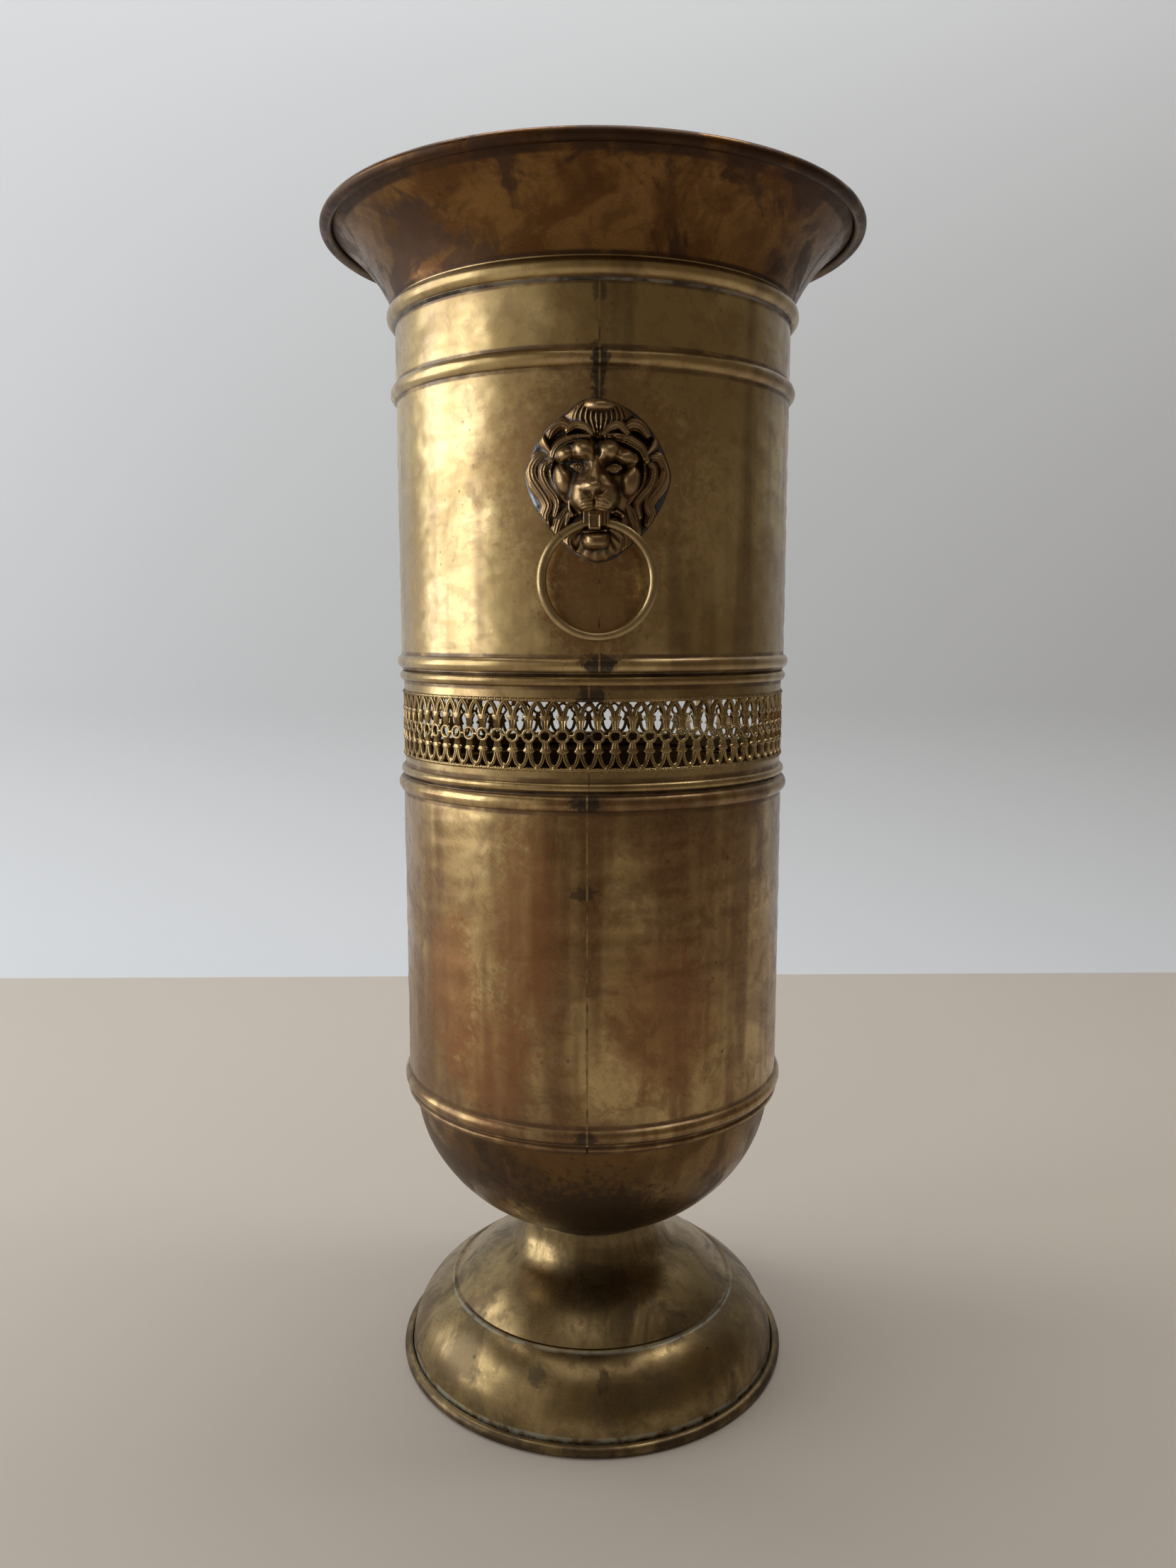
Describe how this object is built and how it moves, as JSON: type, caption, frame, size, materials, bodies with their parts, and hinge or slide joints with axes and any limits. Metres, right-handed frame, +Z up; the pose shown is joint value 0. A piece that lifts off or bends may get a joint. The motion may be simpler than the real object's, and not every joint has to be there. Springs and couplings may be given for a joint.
{
  "type": "umbrella stand",
  "caption": "Tall footed brass umbrella stand with a flared mouth, beaded drums, a pierced gallery band and lion mask ring handles.",
  "frame": {"origin": "on the floor, under the middle of the stand", "axes": "+Z up along the stand's axis; -Y is the front, where the soldered joints and the pictured lion mask are; +X is to the right seen from the front"},
  "size_m": [0.2718, 0.2718, 0.5981],
  "materials": {
    "mouth_brass": "dark patinated brass",
    "upper_brass": "worn golden brass",
    "gallery_brass": "worn golden brass, dark in the piercings",
    "lower_brass": "brown patinated brass",
    "foot_brass": "olive brown patinated brass",
    "mask_brass": "bronze brown, polished on the high places",
    "ring_brass": "satin brass",
    "solder": "dull grey soft solder",
    "iron_wire": "dark iron wire",
    "plated_steel": "dull plated steel"
  },
  "bodies": {
    "stand": {"flared_mouth": "mouth_brass", "rim_wire": "iron_wire", "mouth_solder_ring": "solder", "upper_cylinder": "upper_brass", "upper_seam_solder": "solder", "gallery_upper_solder_ring": "solder", "gallery_band": "gallery_brass", "gallery_seam_solder": "solder", "gallery_lower_solder_ring": "solder", "lower_cylinder": "lower_brass", "lower_seam_solder": "solder", "bowl": "lower_brass", "bowl_solder_ring": "solder", "neck_solder_ring": "solder", "foot": "foot_brass", "foot_rim_wire": "iron_wire", "foot_bolt": "plated_steel", "bowl_washer": "plated_steel", "foot_washer": "plated_steel", "foot_nut": "plated_steel", "front_mask": "mask_brass", "front_mask_solder": "solder", "rear_mask": "mask_brass", "rear_mask_solder": "solder"},
    "front_handle": {"front_ring": "ring_brass"},
    "rear_handle": {"rear_ring": "ring_brass"}
  },
  "joints": [
    {"name": "front_ring_swing", "type": "hinge", "parent": "stand", "child": "front_handle", "pos_m": [0, -0.108, 0.4465], "axis": [-1, 0, 0], "range_deg": [-5, 160]},
    {"name": "rear_ring_swing", "type": "hinge", "parent": "stand", "child": "rear_handle", "pos_m": [0, 0.108, 0.4465], "axis": [1, 0, 0], "range_deg": [-5, 160]}
  ]
}
